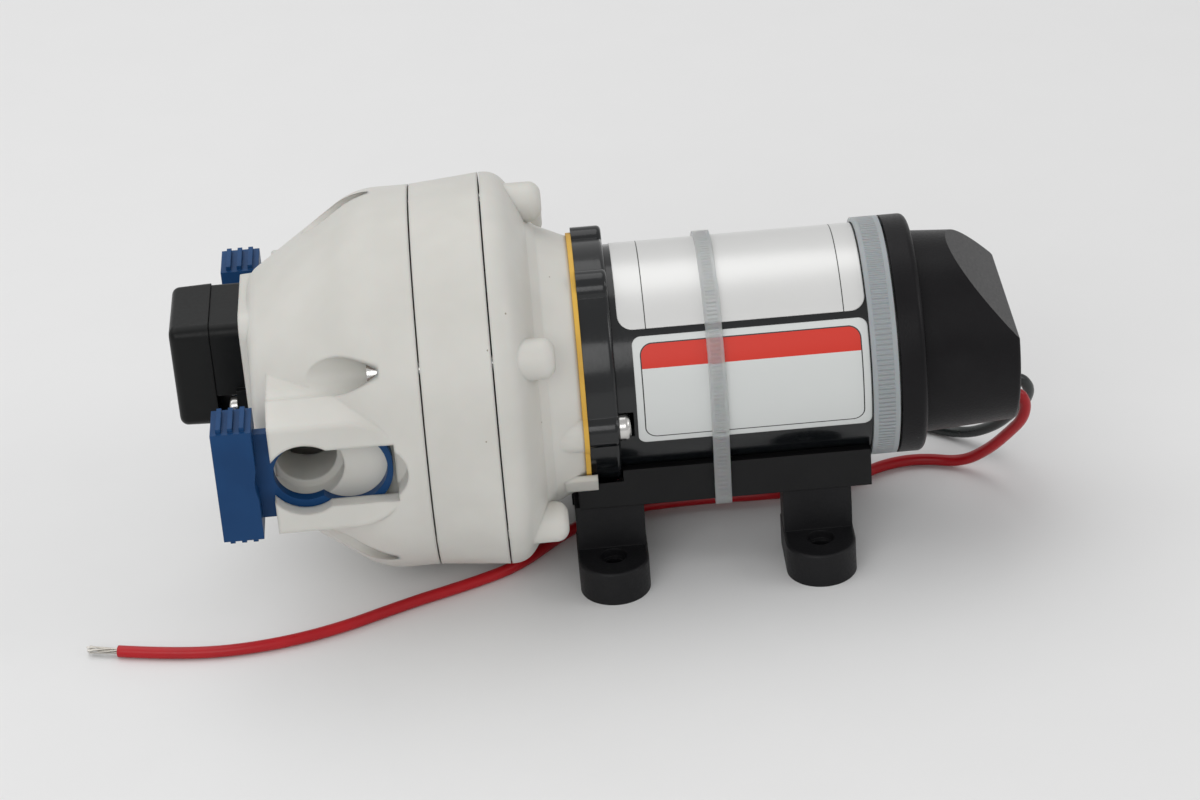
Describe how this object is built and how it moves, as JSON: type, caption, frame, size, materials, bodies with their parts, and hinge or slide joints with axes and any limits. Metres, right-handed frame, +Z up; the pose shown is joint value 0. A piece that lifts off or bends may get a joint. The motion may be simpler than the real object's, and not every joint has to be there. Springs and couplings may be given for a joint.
{
  "type": "diaphragm water pump",
  "caption": "Compact electric diaphragm water pump for a caravan: domed pump head with slide-lock hose ports and a pressure switch, round motor on a rubber-footed cradle, loose leads.",
  "frame": {"origin": "centre of the four foot holes, on the surface that the pump stands on", "axes": "+X along the motor shaft from the pressure switch to the end cap, -Y towards the front port, +Z up"},
  "size_m": [0.263, 0.1122, 0.1075],
  "materials": {
    "white_plastic": "moulded satin",
    "black_plastic": "satin",
    "black_rubber": "matt",
    "black_paint": "semi-gloss",
    "blue_plastic": "satin",
    "yellow_gasket": "matt",
    "screw_steel": "bright",
    "shaft_steel": "ground",
    "copper": "turned",
    "magnet_ferrite": "ground",
    "carbon": "matt",
    "inner_plastic": "moulded",
    "valve_rubber": "matt",
    "clear_nylon": "translucent",
    "red_insulation": "gloss",
    "black_insulation": "gloss",
    "tinned_copper": "tinned"
  },
  "bodies": {
    "root": {"switch_cover": "black_plastic", "switch_base": "black_plastic", "switch_screws": "screw_steel", "switch_diaphragm": "valve_rubber", "micro_switch": "black_plastic", "upper_housing": "white_plastic", "valve_housing": "white_plastic", "lower_housing": "white_plastic", "head_screws": "screw_steel", "inlet_valves": "valve_rubber", "outlet_valve": "valve_rubber", "diaphragm": "valve_rubber", "flange_gasket": "yellow_gasket", "motor_bracket": "black_paint", "bracket_screws": "screw_steel", "motor_can": "black_paint", "magnets": "magnet_ferrite", "front_bearing": "shaft_steel", "rear_bearing": "shaft_steel", "brush_plate": "black_plastic", "carbon_brushes": "carbon", "end_cap": "black_rubber", "cradle_base": "black_plastic", "foot_head_front": "black_rubber", "foot_head_rear": "black_rubber", "foot_motor_front": "black_rubber", "foot_motor_rear": "black_rubber", "narrow_tie": "clear_nylon", "wide_tie": "clear_nylon", "red_lead": "red_insulation", "red_lead_end": "tinned_copper", "black_lead": "black_insulation", "black_lead_end": "tinned_copper"},
    "rotor": {"motor_shaft": "shaft_steel", "armature": "shaft_steel", "commutator": "copper", "eccentric_cam": "inner_plastic"},
    "wobble": {"wobble_plate": "inner_plastic", "wobble_bearing": "shaft_steel", "pistons": "inner_plastic"},
    "front_clip": {"slide_clip_front": "blue_plastic"},
    "rear_clip": {"slide_clip_rear": "blue_plastic"},
    "plunger": {"switch_plunger": "inner_plastic"}
  },
  "joints": [
    {"name": "motor_spin", "type": "hinge", "parent": "root", "child": "rotor", "pos_m": [0, 0, 0.0545], "axis": [1, 0, 0], "continuous": true},
    {"name": "wobble_tilt", "type": "hinge", "parent": "root", "child": "wobble", "pos_m": [-0.0488, 0, 0.0545], "axis": [0, 1, 0], "range_deg": [-2, 2], "stiffness_Nm_per_rad": 0.5},
    {"name": "front_clip_slide", "type": "slide", "parent": "root", "child": "front_clip", "axis": [-1, 0, 0], "range_m": [0, 0.011]},
    {"name": "rear_clip_slide", "type": "slide", "parent": "root", "child": "rear_clip", "axis": [-1, 0, 0], "range_m": [0, 0.011]},
    {"name": "plunger_travel", "type": "slide", "parent": "root", "child": "plunger", "axis": [-1, 0, 0], "range_m": [0, 0.0006], "stiffness_N_per_m": 400}
  ]
}
